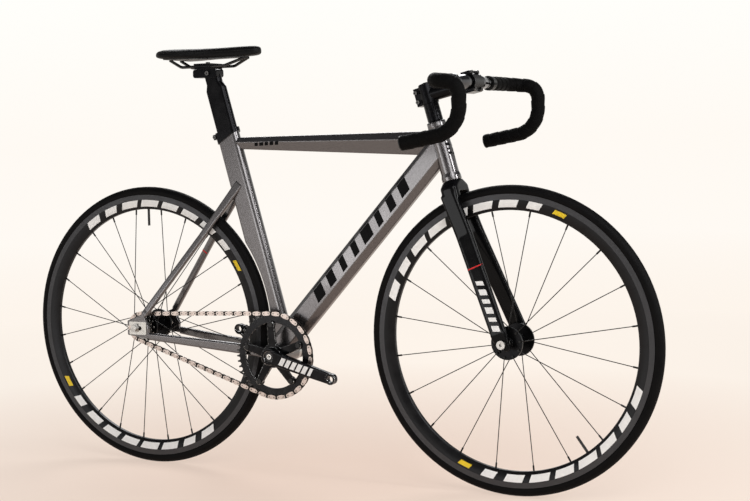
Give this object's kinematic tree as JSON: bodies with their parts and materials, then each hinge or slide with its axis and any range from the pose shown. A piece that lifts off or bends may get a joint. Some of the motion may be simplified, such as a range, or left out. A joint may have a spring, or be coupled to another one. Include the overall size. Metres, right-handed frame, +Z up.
{
  "type": "track bicycle",
  "caption": "Fixed-gear track bicycle with a flat-sided metal frame, bladed fork, deep rims, drop bar and chain drive; steers, rolls and turns its cranks.",
  "frame": {"origin": "on the ground midway between the two tyres' contact points, in the bicycle's centre plane", "axes": "+X forward, +Y to the rider's left, +Z up"},
  "size_m": [1.6179, 0.4612, 0.9956],
  "materials": {
    "frame_paint": "gunmetal metallic paint with a clear coat",
    "stainless": "brushed",
    "bearing_steel": "ground",
    "fork_gloss": "gloss black moulding",
    "black_aluminium": "black anodised",
    "bolt_steel": "machined",
    "bar_polished": "polished dark anodised",
    "bar_tape": "soft matt tape",
    "plug_plastic": "moulded",
    "tyre_rubber": "matt rubber",
    "tube_rubber": "thin rubber, metal valve",
    "rim_black": "black anodised, machined tracks",
    "hub_black": "black anodised",
    "spoke_black": "black oxide",
    "chain_nickel": "nickel plated",
    "cog_steel": "machined",
    "crank_black": "black anodised",
    "rail_steel": "black coated",
    "saddle_leather": "smooth synthetic cover"
  },
  "bodies": {
    "frame": {"head_tube": "frame_paint", "top_tube": "frame_paint", "down_tube": "frame_paint", "seat_tube": "frame_paint", "bottom_bracket_shell": "frame_paint", "chainstay_right": "frame_paint", "chainstay_left": "frame_paint", "seatstay_right": "frame_paint", "seatstay_left": "frame_paint", "dropout_right": "frame_paint", "dropout_left": "frame_paint", "dropout_plates": "stainless", "bottom_bracket_cups": "black_aluminium", "headset_bearings": "bearing_steel", "seat_collar": "black_aluminium", "seat_collar_bolt": "bolt_steel", "rear_axle": "stainless", "rear_axle_nuts": "stainless", "chain": "chain_nickel"},
    "fork_and_bar": {"fork": "fork_gloss", "fork_steerer": "black_aluminium", "headset_cover": "black_aluminium", "headset_spacers": "black_aluminium", "stem": "black_aluminium", "stem_faceplate": "black_aluminium", "stem_bolts": "bolt_steel", "top_cap": "black_aluminium", "steerer_plug": "black_aluminium", "handlebar": "bar_polished", "bar_tape_left": "bar_tape", "bar_tape_right": "bar_tape", "bar_end_plugs": "plug_plastic", "front_axle": "stainless", "front_axle_bolts": "stainless"},
    "front_wheel": {"front_tyre": "tyre_rubber", "front_inner_tube": "tube_rubber", "front_rim": "rim_black", "front_spokes": "spoke_black", "front_hub": "hub_black", "front_hub_bearings": "bearing_steel"},
    "rear_wheel": {"rear_tyre": "tyre_rubber", "rear_inner_tube": "tube_rubber", "rear_rim": "rim_black", "rear_spokes": "spoke_black", "rear_hub": "hub_black", "rear_hub_bearings": "bearing_steel", "rear_cog": "cog_steel", "cog_lockring": "cog_steel"},
    "crankset": {"crank_right": "crank_black", "crank_left": "crank_black", "crank_spindle": "bolt_steel", "chainring": "crank_black", "chainring_bolts": "bolt_steel", "crank_bolts": "bolt_steel"},
    "seat": {"seatpost": "black_aluminium", "saddle_clamp": "black_aluminium", "saddle_clamp_bolts": "bolt_steel", "saddle_rails": "rail_steel", "saddle_shell": "plug_plastic", "saddle_cover": "saddle_leather"}
  },
  "joints": [
    {"name": "steering", "type": "hinge", "parent": "frame", "child": "fork_and_bar", "pos_m": [0.43839, 0, 0.32608], "axis": [-0.2756, 0, 0.9613], "range_deg": [-75, 75]},
    {"name": "front_wheel_spin", "type": "hinge", "parent": "fork_and_bar", "child": "front_wheel", "pos_m": [0.473, 0, 0.336], "axis": [0, 1, 0], "continuous": true},
    {"name": "rear_wheel_spin", "type": "hinge", "parent": "frame", "child": "rear_wheel", "pos_m": [-0.473, 0, 0.336], "axis": [0, 1, 0], "continuous": true, "deforming": ["chain"]},
    {"name": "crank_spin", "type": "hinge", "parent": "frame", "child": "crankset", "pos_m": [-0.10121, 0, 0.284], "axis": [0, 1, 0], "continuous": true, "deforming": ["chain"]},
    {"name": "seatpost_slide", "type": "slide", "parent": "frame", "child": "seat", "axis": [-0.2706, 0, 0.9627], "range_m": [-0.06, 0.05]}
  ],
  "couplings": [
    {"joint": "crank_spin", "follows": "rear_wheel_spin", "ratio": 0.33333}
  ]
}
